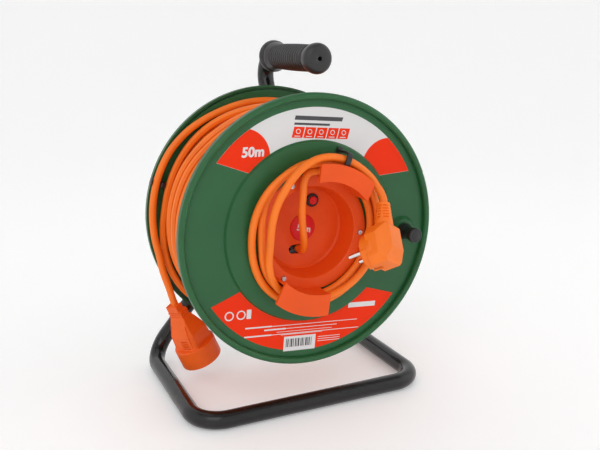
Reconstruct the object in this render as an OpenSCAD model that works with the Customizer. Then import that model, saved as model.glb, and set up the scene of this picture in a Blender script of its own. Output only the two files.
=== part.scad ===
// Garden cable reel: a two-part plastic drum that turns on a steel stub axle
// carried by a bent tube stand, wound with fifty metres of three-core cord.
// Lengths are millimetres, +Z is up and the axle runs along Y.

/* [Drum] */
// Outside diameter of both flanges
flange_d = 290; // [284:1:296]
// Clear width between the two flanges
winding_w = 117; // [114:1:122]
// Outside diameter of the barrel the cord is wound on
barrel_d = 176; // [170:1:178]
// Thickness of the flange and barrel walls
wall = 3; // [2.5:0.1:3.5]
// Diameter of the raised disc in the middle of a flange
disc_d = 191; // [188:1:194]
// Diameter of the axle
axle_d = 16; // [14:1:18]

/* [Stand] */
// Height of the axle above the floor
axle_h = 195; // [193:1:205]
// Outside diameter of the stand tube
tube_d = 19; // [18:0.5:19.5]
// Wall of the stand tube
tube_wall = 1.5; // [1:0.1:2]
// Distance between the centres of the two side bars
base_w = 266; // [262:1:276]
// Height of the grip's centre above the axle
grip_rise = 177.5; // [175:0.5:190]

/* [Cord] */
// Diameter of the cord
cord_d = 8; // [7.4:0.1:8]
// Turns wound in the outermost layer
outer_turns = 11; // [9:1:11]

/* [Fittings] */
// Distance of the winding knob from the axle
knob_at = 111; // [108:1:114]
// Largest diameter of the winding knob
knob_d = 18; // [17:0.5:19]
// Diameter of the knob's pin
knob_pin_d = 8; // [6:0.5:8]
// Inside diameter of the cable cup at its mouth
cup_mouth_d = 100; // [98:1:101]
// Depth of the cable cup
cup_depth = 25.5; // [22:0.5:26]
// Diameter of the plug's face
plug_d = 38.4; // [37:0.2:39]
// Length of the plug's pins
pin_l = 19; // [18:0.5:19]

/* [Hidden] */
$fn = 96;
small_fn = 48;
fit = 0.05;
gap = 0.3;
seat = 0.02;

flange_r = flange_d / 2;
barrel_r = barrel_d / 2;
disc_r = disc_d / 2;
tube_r = tube_d / 2;
axle_r = axle_d / 2;
cord_r = cord_d / 2;

// Stations along the axle, measured back from the front flange's rim
disc_face = 3;
web_face = disc_face + wall;
flange_in = web_face + wall;
mid_w = flange_in + winding_w / 2;
drum_w = 2 * mid_w;
rear_in = drum_w - flange_in;
hub_end = drum_w + 0.7;
washer_t = 2;
block_w0 = hub_end + gap + washer_t;
block_t = 24;
block_w1 = block_w0 + block_t;
leg_w = block_w0 + block_t / 2;
block_r = 22;

// Floor plan of the stand
bar_front_w = -7.5;
bar_rear_w = 187;
front_bend = 32;
rear_bend = 28;
tube_step = 10;
tube_sides = 24;
floor_z = tube_r - axle_h;
ear_reach = -26;
rear_reach = bar_rear_w + 4.6;
mid_y = (ear_reach + rear_reach) / 2;

// Rim and flange
rim_w = 7;
bead_r = rim_w / 2;
rib_count = 12;
drum_screw_r = 2.5;
drum_screw_at = 74;
drum_screw_angles = [30, 150, 270];
drum_head_r = 4.5;

// Cable cup
cup_ring_r = 62.5;
cup_face = 3.5;
cup_wall = 2.5;
mouth_r = cup_mouth_d / 2;
cup_back_r = mouth_r - 5;
cup_floor = cup_face + cup_depth;
cup_rear = cup_floor + cup_wall;
cup_hole_r = mouth_r + cup_wall + 0.5;
cup_seat_r = cup_ring_r + 0.8;
cup_screw_at = 56.5;
cup_screw_angles = [-126.5, -5.5, 114.5];
cup_screw_r = 1.5;
ear_plate_w1 = ear_reach + 3;
upper_ear_r = 77;
lower_ear_r = 82;
slot_at = [-7.6, -23.2];
slot_half = 3.5;
slot_r = 5;
lead_at = [slot_at[0] + slot_half, slot_at[1]];
cap_r = 14.5;
cap_t = 1.2;

// Thermal cut-out
switch_at = [11.2, 29.3];
bezel_r = 7.25;
button_r = 4.5;
bezel_w = cup_floor - 2.5;
switch_w1 = cup_rear + 20;

// Hub and axle
hub_r = 14;
hub_w0 = 56;
end_washer_w = hub_w0 - gap;
axle_tail_r = 6;
tail_nut_t = 10;
end_screw_r = 3;

// Knob
knob_angle = -4.7;
boss_r0 = 16;
boss_r1 = 13;
boss_w = 1;
knob_len = 25;
pin_head_r = 7.5;
pin_head_t = 2;
pin_len = 19;
knob_pin_r = knob_pin_d / 2;

// Clips
clip_angle = 71;
clip_arm_r0 = 88.6;
clip_arm_r1 = 91.2;
clip_width = 6;
clip_front = -24.2;
clip_lip_r = 77.4;
hook_angle = 162;
hook_lane_r = 141;
hook_half = cord_r + 0.5;
hook_peg_at = 134;
hook_peg_r = 2;

// Winding
layer_r = 127.2;
pitch = cord_d + 0.7;
core_r = layer_r - cord_r - 1.4;
winding_w0 = flange_in + cord_r + 0.5;
core_gap = gap;

// Grip
grip_x = 12;
grip_w0 = -12;
grip_w1 = 139;
grip_rib_w0 = 31;
grip_ribs = 13;
grip_r = 14.5;
bulb_r = 15.8;
bulb_l = 40;
collar_r = 17.6;
collar_l = 15;
grip_rib_pitch = (grip_w1 - collar_l - 2 - grip_rib_w0) / grip_ribs;
handle_knee_z = 118;
handle_top_w = 170;
handle_bend = 22;
knee_bend = 40;

// Plug, placed by its face centre
plug_face = [43.6, -38.6, -17];
plug_turn = [-29.6, -27.6, -53.9];
plug_r = plug_d / 2;
prong_r = 2.4;
prong_half = 9.5;
prong_root = 8;
prong_shank_r = 1.9;
prong_neck = 0.5;
plug_back = 34.5;
relief_foot = [22.2, 0, 20];
relief_tilt = 10.5;
relief_l = 27.5;
relief_r0 = 10.4;
relief_r1 = 6.6;
relief_slots = [[41, 3.4], [96, 2.2], [148, 3.4]];

// Connector, placed by the root of its neck
neck_at = [-121.5, 112.5, -94.6];
neck_turn = 157.3;
mouth_s = 79;
neck_depth = 18;
ring_s = 55;
panel_turn = -122;
ring_r = 24;
recess_r = 19.8;
recess_s = mouth_s - 17.5;
insert_r = 17;
insert_t = 5;
contact_r = 2.5;

flange_green = [0.12, 0.36, 0.2];
orange = [0.95, 0.4, 0.1];
black = [0.08, 0.08, 0.08];
steel = [0.7, 0.7, 0.72];
brass = [0.8, 0.65, 0.3];
red = [0.8, 0.08, 0.08];
cream = [0.85, 0.83, 0.75];

// ---------- placing ----------

module at_axle() translate([0, -mid_y, axle_h]) children();

module along_axle(w = 0) translate([0, w, 0]) rotate([-90, 0, 0]) children();

module turned() along_axle() rotate_extrude() children();

module at_angle(a) rotate([0, -a, 0]) children();

module rod(r, w0, w1) along_axle(w0) cylinder(h = w1 - w0, r = r);

module ring_2d(r0, r1, w0, w1) translate([r0, w0]) square([r1 - r0, w1 - w0]);

function unit(v) = v / norm(v);

function polar(r, a) = [r * cos(a), r * sin(a)];

function on_drum(p) = [p[1] * cos(p[0]), p[2], p[1] * sin(p[0])];

// ---------- bent tube ----------

function turn_at(a, b, c) = acos(unit(b - a) * unit(c - b));

// Centres of the rings round one bend, from tangent point to tangent point
function bend_points(a, b, c, bend) =
    let (
        d = unit(b - a),
        e = unit(c - b),
        n = unit(e - (e * d) * d),
        turn = turn_at(a, b, c),
        steps = ceil(turn / tube_step),
        o = b - bend * tan(turn / 2) * d + bend * n
    )
    [for (k = [0 : steps]) o + bend * (sin(turn * k / steps) * d - cos(turn * k / steps) * n)];

function bent_path(p, bends) = concat(
    [p[0]],
    [for (i = [1 : len(p) - 2]) each bend_points(p[i - 1], p[i], p[i + 1], bends[i])],
    [p[len(p) - 1]]
);

module bent_tube(p, bends) {
    c = bent_path(p, bends);
    t = tangents(c);
    m = carry(t, cross(t[0], t[floor(len(t) / 2)]));
    s = tube_sides;
    rings = len(c);
    pts = [
        for (r = [tube_r, tube_r - tube_wall], i = [0 : rings - 1])
            each ring_points(c[i], t[i], m[i], r, s)
    ];
    bore = rings * s;
    last = (rings - 1) * s;
    ends = [
        for (k = [0 : s - 1], e = [0, 1])
            let (q = (k + 1) % s, a = e * last + k, b = e * last + q)
            e == 0 ? [a, bore + a, bore + b, b] : [a, b, bore + b, bore + a]
    ];
    faces = concat(
        side_faces(rings, s, 0, false),
        side_faces(rings, s, bore, true),
        ends
    );
    polyhedron(points = pts, faces = faces);
}

base_x = base_w / 2;
base_path = [
    [0, leg_w, 0],
    [-base_x, bar_rear_w, floor_z],
    [-base_x, bar_front_w, floor_z],
    [base_x, bar_front_w, floor_z],
    [base_x, bar_rear_w, floor_z],
    [0, leg_w, 0]
];
base_bends = [0, rear_bend, front_bend, front_bend, rear_bend, 0];

module base_tube() color(black) at_axle() difference() {
    bent_tube(base_path, base_bends);
    rod(block_r, leg_w - 2 * tube_d, leg_w + 2 * tube_d);
}

handle_path = [
    [0, leg_w, 0],
    [grip_x, leg_w - 2.5, handle_knee_z],
    [grip_x, handle_top_w, grip_rise],
    [grip_x, grip_w0 + 9, grip_rise]
];
handle_bends = [0, knee_bend, handle_bend, 0];

module handle_tube() color(black) at_axle() difference() {
    bent_tube(handle_path, handle_bends);
    rod(block_r, leg_w - 2 * tube_d, leg_w + 2 * tube_d);
}

module hub_block() color(black) at_axle() difference() {
    rod(block_r, block_w0, block_w1);
    rod(axle_tail_r, block_w0 - 1, block_w1 + 1);
}

// ---------- grip ----------

// Profiles of the grip's bulb, one rib and the end collar, as shares of their sizes
bulb = [
    [0.16, 0], [0.44, 0], [0.66, 0.03], [0.82, 0.1], [0.94, 0.22], [0.99, 0.4], [1, 0.65],
    [0.96, 0.85], [0.89, 1]
];
grip_rib = [[0.91, 0], [0.985, 0.17], [1, 0.49], [0.985, 0.8], [0.91, 0.97]];
collar = [[0.77, 0], [0.85, 0.33], [0.955, 0.6], [1, 0.7], [1, 0.9], [0.94, 1]];

grip_outline = concat(
    [[0.16 * bulb_r, grip_w0 + 9]],
    [for (p = bulb) [p[0] * bulb_r, grip_w0 + p[1] * bulb_l]],
    [for (i = [0 : grip_ribs - 1], p = grip_rib)
        [p[0] * grip_r, grip_rib_w0 + (i + p[1]) * grip_rib_pitch]],
    [for (p = collar) [p[0] * collar_r, grip_w1 + (p[1] - 1) * collar_l]],
    [[tube_r, grip_w1], [tube_r, grip_w0 + 9]]
);

module grip() color(black) at_axle() translate([grip_x, 0, grip_rise])
    turned() polygon(grip_outline);

// ---------- axle ----------

module axle() color(steel) at_axle() difference() {
    union() {
        rod(axle_r, end_washer_w, block_w0);
        rod(axle_tail_r, block_w0, block_w1 + washer_t + tail_nut_t + 2);
    }
    rod(end_screw_r, end_washer_w - 1, end_washer_w + 22);
}

module washer(r0, r1, w0) difference() {
    rod(r1, w0, w0 + washer_t);
    rod(r0, w0 - 1, w0 + washer_t + 1);
}

module axle_washer() color(steel) at_axle() washer(axle_r, hub_r, block_w0 - washer_t);

module axle_end_washer() color(steel) at_axle()
    washer(end_screw_r, hub_r - 1, end_washer_w - washer_t);

module axle_end_screw() color(steel) at_axle() {
    along_axle(end_washer_w - washer_t - 4) cylinder(h = 4, r = 5.8, $fn = 6);
    rod(end_screw_r, end_washer_w - washer_t, end_washer_w + 21.7);
}

module tail_washer() color(steel) at_axle() washer(axle_tail_r, 13, block_w1);

module tail_nut() color(steel) at_axle() difference() {
    along_axle(block_w1 + washer_t) cylinder(h = tail_nut_t, r = 11, $fn = 6);
    rod(axle_tail_r, block_w1, block_w1 + tail_nut_t + 4);
}

// ---------- flanges ----------

module flange_2d(r0) difference() {
    union() {
        polygon([
            [r0, disc_face], [disc_r, disc_face], [disc_r + 2, web_face],
            [flange_r - rim_w, web_face], [flange_r - rim_w, flange_in],
            [barrel_r - wall - 1, flange_in], [barrel_r - wall - 1, web_face], [r0, web_face]
        ]);
        translate([flange_r - bead_r, bead_r]) circle(r = bead_r, $fn = small_fn);
        ring_2d(flange_r - rim_w, flange_r, bead_r, flange_in);
    }
    ring_2d(flange_r - rim_w + 2.3, flange_r - 2.3, 5, flange_in + 1);
}

module ribs(r0, r1, w0, w1) {
    for (i = [0 : rib_count - 1])
        at_angle(i * 360 / rib_count + 15)
            translate([r0, w0, -1]) cube([r1 - r0, w1 - w0, 2]);
}

module drum_bosses(w0, w1) {
    for (a = drum_screw_angles)
        at_angle(a) translate([drum_screw_at, 0, 0]) rod(5, w0, w1);
}

module front_flange() color(flange_green) at_axle() difference() {
    union() {
        turned() flange_2d(cup_seat_r);
        turned() ring_2d(cup_hole_r, cup_seat_r + wall, web_face, flange_in);
        turned() polygon([
            [barrel_r - wall, web_face], [barrel_r, web_face], [barrel_r, mid_w],
            [barrel_r - 1.7, mid_w], [barrel_r - 1.7, mid_w + 4], [barrel_r - wall, mid_w + 4]
        ]);
        ribs(cup_seat_r + 1, barrel_r - 1, disc_face + 1, 16);
        drum_bosses(disc_face + 1, mid_w);
        for (a = cup_screw_angles)
            at_angle(a) translate([cup_screw_at, 0, 0]) rod(3.2, web_face + 1, web_face + 10);
        at_angle(knob_angle) translate([knob_at, 0, 0])
            along_axle(boss_w) cylinder(h = web_face + 1 - boss_w, r1 = boss_r1, r2 = boss_r0 + 0.6);
    }
    for (a = drum_screw_angles)
        at_angle(a) translate([drum_screw_at, 0, 0]) rod(drum_screw_r, mid_w - 16, mid_w + 1);
    for (a = cup_screw_angles)
        at_angle(a) translate([cup_screw_at, 0, 0]) rod(cup_screw_r, 0, web_face + 9);
    at_angle(knob_angle) translate([knob_at, 0, 0]) {
        rod(knob_pin_r, boss_w - 1, flange_in + 1);
        rod(pin_head_r, flange_in - pin_head_t, flange_in + 1);
    }
    at_angle(clip_angle) translate([clip_arm_r0, 0, -clip_width / 4])
        cube([clip_arm_r1 - clip_arm_r0, flange_in, clip_width / 2]);
}

module rear_flange() color(flange_green) at_axle() difference() {
    union() {
        translate([0, drum_w, 0]) mirror([0, 1, 0]) turned() flange_2d(axle_r + fit);
        turned() ring_2d(axle_r + fit, hub_r, hub_w0, hub_end);
        turned() polygon([
            [barrel_r - 1.7 + gap, mid_w], [barrel_r, mid_w], [barrel_r, drum_w - web_face],
            [barrel_r - wall, drum_w - web_face], [barrel_r - wall, mid_w + 4 + gap],
            [barrel_r - 1.7 + gap, mid_w + 4 + gap]
        ]);
        ribs(hub_r - 1, barrel_r - 1, drum_w - 22, drum_w - disc_face - 1);
        drum_bosses(mid_w, drum_w - disc_face - 1);
    }
    for (a = drum_screw_angles)
        at_angle(a) translate([drum_screw_at, 0, 0]) {
            rod(drum_screw_r, mid_w - 1, drum_w);
            rod(drum_head_r, drum_w - disc_face - 5, drum_w);
        }
    at_angle(hook_angle) translate([hook_peg_at, 0, 0])
        rod(hook_peg_r, rear_in - 1, rear_in + wall + 1);
    at_angle(200) translate([barrel_r - 6, mid_w + 30, 0]) rotate([0, 90, 0]) cylinder(h = 8, r = 6.5);
}

module drum_screws() color(steel) at_axle() {
    for (a = drum_screw_angles)
        at_angle(a) translate([drum_screw_at, 0, 0]) {
            rod(drum_screw_r, mid_w - 15.7, drum_w - disc_face - 5);
            difference() {
                rod(drum_head_r - gap, drum_w - disc_face - 5, drum_w - disc_face - 1.5);
                translate([0, drum_w - disc_face - 1.5, 0]) cube([1, 3, 5], center = true);
                translate([0, drum_w - disc_face - 1.5, 0]) cube([5, 3, 1], center = true);
            }
        }
}

module barrel_grommet() color(black) at_axle()
    at_angle(200) translate([barrel_r - wall, mid_w + 30, 0]) rotate([0, 90, 0]) difference() {
        union() {
            cylinder(h = wall - 0.4, r = 6.5 - seat);
            translate([0, 0, -2]) cylinder(h = 2 - gap, r = 8);
            translate([0, 0, -gap]) cylinder(h = gap, r = 6);
        }
        translate([0, 0, -3]) cylinder(h = wall + 6, r = cord_r);
    }

// ---------- cable cup ----------

module wedge_2d(r0, r1, a0, a1, b0, b1) {
    p0 = polar(r0, a0);
    p1 = polar(r0, a1);
    q0 = polar(r1, b0);
    q1 = polar(r1, b1);
    polygon([
        p0 - 8 * unit(q0 - p0), q0 + 8 * unit(q0 - p0), polar(2 * r1, (b0 + b1) / 2),
        q1 + 8 * unit(q1 - p1), p1 - 8 * unit(q1 - p1)
    ]);
}

// Drawn in the plane of the flange, then stood up along the axle
module plate(w0, w1) translate([0, w1, 0]) rotate([90, 0, 0]) linear_extrude(w1 - w0) children();

// An ear's plate spans a0 to a1 inside and b0 to b1 outside, and its web stops at c1
module ear(r1, a0, a1, b0, b1, c1) {
    web_r1 = cup_ring_r - 0.2;
    web_r0 = web_r1 - cup_wall;
    lip_r = web_r0 - 0.8;
    plate(ear_reach, ear_plate_w1) intersection() {
        difference() {
            circle(r = r1);
            circle(r = lip_r);
        }
        wedge_2d(lip_r, r1, a0, a1, b0, b1);
    }
    plate(ear_plate_w1 - 1, cup_face + 1) intersection() {
        difference() {
            circle(r = web_r1);
            circle(r = web_r0);
        }
        wedge_2d(web_r0, web_r1, a0 + 1, c1, a0 + 1, c1);
    }
}

module slot_2d() {
    for (s = [-slot_half, slot_half])
        translate([slot_at[0] + s, slot_at[1]]) circle(r = slot_r, $fn = small_fn);
    translate([slot_at[0] - slot_half, slot_at[1] - slot_r]) square([2 * slot_half, 2 * slot_r]);
}

module cable_cup() color(orange) at_axle() difference() {
    union() {
        turned() polygon([
            [cup_ring_r, cup_face], [cup_ring_r, web_face], [mouth_r + cup_wall, web_face],
            [cup_back_r + cup_wall, cup_rear], [0, cup_rear], [0, cup_floor],
            [cup_back_r - 2, cup_floor], [cup_back_r, cup_floor - 2], [mouth_r - 0.6, cup_face + 1],
            [mouth_r + 0.4, cup_face]
        ]);
        ear(upper_ear_r, 35.6, 96.6, 42.6, 93.2, 84);
        ear(lower_ear_r, -137.7, -83.1, -131.9, -87.3, -84.1);
    }
    plate(cup_floor - 1, cup_rear + 1) slot_2d();
    translate([switch_at[0], 0, switch_at[1]]) rod(bezel_r - 1.2, cup_floor - 1, cup_rear + 1);
    for (a = cup_screw_angles)
        at_angle(a) translate([cup_screw_at, 0, 0]) rod(cup_screw_r, 0, web_face + 1);
}

module cup_screws() color(steel) at_axle() {
    for (a = cup_screw_angles)
        at_angle(a) translate([cup_screw_at, 0, 0]) {
            rod(cup_screw_r, cup_face, web_face + 8.7);
            difference() {
                along_axle(cup_face - 1.8) cylinder(h = 1.8, r1 = 2.3, r2 = 3);
                translate([0, cup_face - 1.8, 0]) cube([3.6, 1.6, 0.8], center = true);
                translate([0, cup_face - 1.8, 0]) cube([0.8, 1.6, 3.6], center = true);
            }
        }
}

module centre_cap() color(red) at_axle()
    turned() polygon([
        [0, cup_floor], [cap_r, cup_floor], [cap_r, cup_floor - 0.7],
        [cap_r - 0.5, cup_floor - cap_t], [0, cup_floor - cap_t]
    ]);

// ---------- thermal cut-out, terminals, clamp ----------

module thermal_switch() color(black) at_axle() translate([switch_at[0], 0, switch_at[1]])
    difference() {
        union() {
            turned() polygon([
                [0, cup_floor], [bezel_r, cup_floor], [bezel_r, bezel_w + 0.8],
                [bezel_r - 0.8, bezel_w], [0, bezel_w]
            ]);
            rod(bezel_r - 1.2, cup_floor - 0.5, cup_rear);
            translate([-8, cup_rear, -9]) cube([16, switch_w1 - cup_rear, 18]);
            for (x = [-4, 4])
                translate([x - 1, switch_w1, -3]) cube([2, 5, 6]);
        }
        rod(button_r + gap, bezel_w - 1, cup_rear + 8);
    }

module reset_button() color(red) at_axle() translate([switch_at[0], 0, switch_at[1]])
    turned() polygon([
        [0, bezel_w - 1.0], [2.8, bezel_w - 1.5], [4, bezel_w - 1.5], [button_r, bezel_w - 1],
        [button_r, cup_rear + 3], [0, cup_rear + 3]
    ]);

module terminal_block() color(cream) at_axle() difference() {
    translate([-30, cup_rear, -8]) cube([14, 13, 34]);
    for (z = [-2, 9, 20])
        translate([-23, 0, z]) {
            rod(2.2, cup_rear + 6, cup_rear + 14);
            translate([-8, cup_rear + 5, 0]) rotate([0, 90, 0]) cylinder(h = 16, r = 1.8);
        }
}

module lead_clamp() color(black) at_axle() difference() {
    translate([lead_at[0] - 14, cup_rear, lead_at[1] - 8]) cube([28, 8, 16]);
    translate([lead_at[0], 0, lead_at[1]]) rod(cord_r + gap, cup_rear - 1, cup_rear + 9);
    for (s = [-10, 10])
        translate([lead_at[0] + s, 0, lead_at[1]]) {
            rod(1.6, cup_rear - 1, cup_rear + 9);
            rod(3, cup_rear + 6, cup_rear + 9);
        }
}

// ---------- knob ----------

module knob_pin() color(steel) at_axle() at_angle(knob_angle) translate([knob_at, 0, 0]) {
    rod(knob_pin_r, boss_w - pin_len, flange_in - pin_head_t);
    rod(pin_head_r - seat, flange_in - pin_head_t, flange_in - seat);
}

knob_r = knob_d / 2;
knob_w1 = boss_w - gap;

module knob() color(black) at_axle() at_angle(knob_angle) translate([knob_at, 0, 0])
    turned() polygon([
        [knob_pin_r + fit, knob_w1], [knob_r - 0.6, knob_w1], [knob_r, knob_w1 - 0.8],
        [knob_r, knob_w1 - 2.5], [knob_r - 1.2, knob_w1 - 5], [knob_r - 1.9, knob_w1 - 9],
        [knob_r - 2, knob_w1 - 12], [knob_r - 1.6, knob_w1 - 16], [knob_r - 0.9, knob_w1 - 20],
        [knob_r - 0.9, knob_w1 - 22.5], [knob_r - 1.7, knob_w1 - 24], [knob_r - 4, knob_w1 - 25],
        [0, knob_w1 - knob_len], [0, boss_w - pin_len - 1], [knob_pin_r + fit, boss_w - pin_len - 1]
    ]);

// ---------- clips ----------

module front_clip() color(black) at_axle() at_angle(clip_angle) {
    h = clip_width / 2;
    plate_r = clip_arm_r1 + 2.5;
    translate([clip_arm_r0 - 1.5, disc_face - 2, -h - 1])
        cube([plate_r - clip_arm_r0 + 1.5, 2, clip_width + 2]);
    translate([clip_arm_r0, clip_front + 1, -h])
        cube([clip_arm_r1 - clip_arm_r0, disc_face - 2 - clip_front, clip_width]);
    translate([clip_lip_r, clip_front, -h]) cube([clip_arm_r1 - clip_lip_r, 2.4, clip_width]);
    translate([clip_lip_r, clip_front, -h]) cube([1.4, 3.2, clip_width]);
    translate([clip_arm_r0 + seat, disc_face - 1, -h / 2 + seat])
        cube([clip_arm_r1 - clip_arm_r0 - 2 * seat, web_face - disc_face + 3, h - 2 * seat]);
}

module rear_clip() color(black) at_axle() at_angle(hook_angle) {
    h = clip_width / 2;
    jaw_w0 = rear_in - 11.5;
    base_w0 = rear_in - 2;
    jaw_l = base_w0 + 1 - jaw_w0;
    inner_r = hook_peg_at - 3;
    outer_r = hook_lane_r + hook_half;
    translate([inner_r, base_w0, -h]) cube([outer_r + 1.5 - inner_r, 2, clip_width]);
    translate([inner_r, jaw_w0, -h]) cube([hook_lane_r - hook_half - inner_r, jaw_l, clip_width]);
    translate([outer_r, jaw_w0 + 2.5, -h]) cube([1.5, jaw_l - 2.5, clip_width]);
    translate([hook_peg_at, 0, 0]) {
        rod(hook_peg_r, rear_in - 1, rear_in + wall);
        along_axle(rear_in + wall) cylinder(h = 2.5, r1 = hook_peg_r + 0.8, r2 = hook_peg_r - 0.6);
    }
}

// ---------- swept cord ----------

// Tangents, carried normals and rings of a tube along a list of points
function tangents(p) = [
    for (i = [0 : len(p) - 1])
        unit(unit(p[min(i + 1, len(p) - 1)] - p[min(i, len(p) - 2)])
            + unit(p[max(i, 1)] - p[max(i - 1, 0)]))
];

function carry(t, n, i = 0) =
    i == len(t) ? [] :
    let (v = n - (n * t[i]) * t[i], u = v / norm(v))
    concat([u], carry(t, u, i + 1));

function ring_points(c, t, n, r, sides) =
    let (b = cross(t, n))
    [for (k = [0 : sides - 1]) c + r * cos(360 * k / sides) * n + r * sin(360 * k / sides) * b];

// Triangles between rings, numbered from first, seen from outside unless flip is set
function side_faces(rings, sides, first, flip) = [
    for (i = [0 : rings - 2], k = [0 : sides - 1], h = [0, 1])
        let (
            a = first + i * sides + k,
            b = first + i * sides + (k + 1) % sides,
            f = h == 0 ? [a, b + sides, b] : [a, a + sides, b + sides]
        )
        flip ? [f[0], f[2], f[1]] : f
];

function cap_faces(first, sides, flip) = [
    for (k = [1 : sides - 2]) flip ? [first, first + k + 1, first + k]
                                   : [first, first + k, first + k + 1]
];

module cord(p, n, sides) {
    t = tangents(p);
    m = carry(t, n);
    rings = len(p);
    pts = [for (i = [0 : rings - 1]) each ring_points(p[i], t[i], m[i], cord_r, sides)];
    faces = concat(
        side_faces(rings, sides, 0, false),
        cap_faces(0, sides, false),
        cap_faces((rings - 1) * sides, sides, true)
    );
    polyhedron(points = pts, faces = faces);
}

// Smooth curve through hand-placed points, with steps rings between neighbours
function curve_at(a, b, c, d, t) =
    0.5 * (2 * b + (c - a) * t + (2 * a - 5 * b + 4 * c - d) * t * t
        + (3 * b - a - 3 * c + d) * t * t * t);

function curve(p, steps) = concat(
    [for (i = [1 : len(p) - 3], s = [0 : steps - 1])
        curve_at(p[i - 1], p[i], p[i + 1], p[i + 2], s / steps)],
    [p[len(p) - 2]]
);

// Least gap of a wound cord to itself, between sections at least apart steps from each other
function self_gap(p, apart) = min([
    for (i = [0 : len(p) - 1 - apart], j = [i + apart : len(p) - 1]) norm(p[i] - p[j])
]) - cord_d;

// ---------- wound cord ----------

module cord_core() color(orange) at_axle()
    turned() ring_2d(barrel_r + seat, core_r, flange_in + core_gap, rear_in - core_gap);

winding_points = [
    for (i = [0 : outer_turns * 24])
        on_drum([70 - i * 15, layer_r, winding_w0 + i * pitch / 24])
];

module cord_winding() color(orange) at_axle() cord(winding_points, [0, 1, 0], 6);

echo(str("cord_winding, least gap to itself: ", self_gap(winding_points, 12), " mm"));

// ---------- mains lead: angle round the axle, distance from it, station ----------

lead_turns = [
    [135, 55, -7],
    [90, 67, -5], [45, 67.2, -5], [0, 66, -1.6], [-45, 64.5, -1.4],
    [-90, 67.2, -1.4], [-135, 67.3, -1.5], [-180, 60, -2.6], [-225, 69, -1.5],
    [-270, 75.8, -1.4], [-315, 75.8, -1.4], [-360, 75, -1.5], [-405, 73.5, -1.4],
    [-450, 76, -1.4], [-495, 75.8, -1.4], [-540, 70.6, -2], [-585, 74.5, -9],
    [-630, 75.8, -9.9], [-675, 75.8, -10.1], [-720, 70.5, -10.2], [-765, 69, -10],
    [-810, 67.9, -10.3], [-855, 67.8, -10.8], [-900, 55.5, -14.5], [-945, 66, -21.5],
    [-990, 82, -17.5], [-1035, 80.8, -17.3], [-1080, 78, -19]
];
lead_curve = [for (p = curve(lead_turns, 3)) on_drum(p)];

module lead_coil() color(orange) at_axle() cord(lead_curve, [0, 1, 0], 6);

echo(str("lead_coil, least gap to itself: ", self_gap(lead_curve, 12), " mm"));

lead_start = [
    [-4.1, 48, -23.2], [-4.1, 39, -23.2], [-4.1, 29, -23.2], [-4.6, 18, -21.5], [-8, 8, -8],
    [-12.5, 2, 10], [-15, -2, 28], [-15, -4.8, 44], [-14.5, -5.6, 56], [-9.5, -5.5, 65.2],
    [0, -5, 67], [9.5, -5, 66.5]
];

module lead_inner() color(orange) at_axle() cord(curve(lead_start, 2), [1, 0, 0], 8);

lead_end = [
    [49.1, -17.4, 63.4], on_drum([-1035, 80.8, -17.3]), [62.4, -18.6, 49.4], [66, -22.4, 42],
    [66.4, -27.2, 35.3], [64.9, -30.1, 30.2], [63.4, -32.9, 25.2], [61.9, -35.8, 20.1]
];

module lead_outer() color(orange) at_axle() cord(curve(lead_end, 2), [0, 1, 0], 8);

// ---------- plug ----------

module at_plug() at_axle() translate(plug_face) rotate(plug_turn) children();

module at_relief() translate(relief_foot) rotate([0, relief_tilt, 0]) children();

module plug_shell() {
    rotate([0, 90, 0]) cylinder(h = 14, r = plug_r);
    intersection() {
        translate([0, 25, 0]) rotate([90, 0, 0]) linear_extrude(50) polygon([
            [8, -plug_r], [26, -plug_r], [plug_back, -6], [plug_back, 18], [plug_back - 4, 22.5],
            [8, 22.5]
        ]);
        rotate([90, 0, 90]) linear_extrude(40) polygon([
            [-18.2, -11], [-12.5, -plug_r], [12.5, -plug_r], [18.2, -11], [18.2, 13], [11, 22.5],
            [-11, 22.5], [-18.2, 13]
        ]);
        translate([0, 0, -30]) linear_extrude(60) polygon([
            [8, -18.4], [21, -18.4], [plug_back, -10.5], [plug_back, 10.5], [21, 18.4], [8, 18.4]
        ]);
    }
    at_relief() cylinder(h = relief_l, r1 = relief_r0, r2 = relief_r1);
}

module plug_body() color(orange) at_plug() difference() {
    plug_shell();
    at_relief() translate([0, 0, relief_l - 8]) cylinder(h = 9, r = cord_r + gap);
    for (y = [-prong_half, prong_half])
        translate([-1, y, 0]) rotate([0, 90, 0]) cylinder(h = prong_root + 1, r = prong_shank_r);
    translate([-1, 0, -10]) rotate([0, 90, 0]) cylinder(h = 12, r = 2.5);
    for (m = [0, 1])
        mirror([0, 0, m]) translate([-1, -3.2, plug_r - 3]) cube([14.4, 6.4, 4]);
    for (i = [0 : 4], m = [0, 1], slot = relief_slots)
        at_relief() mirror([0, m, 0]) rotate([0, 0, -slot[0]])
            translate([5.6 + 0.4 * i, -slot[1], relief_l - 4.8 - i * 3.2])
                cube([6, 2 * slot[1], 1.3]);
}

module plug_pins() color(steel) at_plug() {
    for (y = [-prong_half, prong_half])
        translate([prong_root, y, 0]) rotate([0, -90, 0]) {
            cylinder(h = prong_root + prong_neck, r = prong_shank_r);
            translate([0, 0, prong_root + prong_neck])
                cylinder(h = pin_l - 1.5 - prong_neck, r = prong_r);
            translate([0, 0, prong_root + pin_l - 1.5]) cylinder(h = 1.5, r1 = prong_r, r2 = 1.3);
        }
}

module plug_earth() color(steel) at_plug() {
    for (m = [0, 1])
        mirror([0, 0, m]) translate([0.2, -3, plug_r - 3]) cube([13, 6, 1]);
}

// ---------- tail and connector ----------

lane_w = 119.5;
neck_w = neck_at[1];
lane_r = hook_lane_r;

function on_neck(s) = neck_at + s * [sin(neck_turn), 0, cos(neck_turn)];

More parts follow.
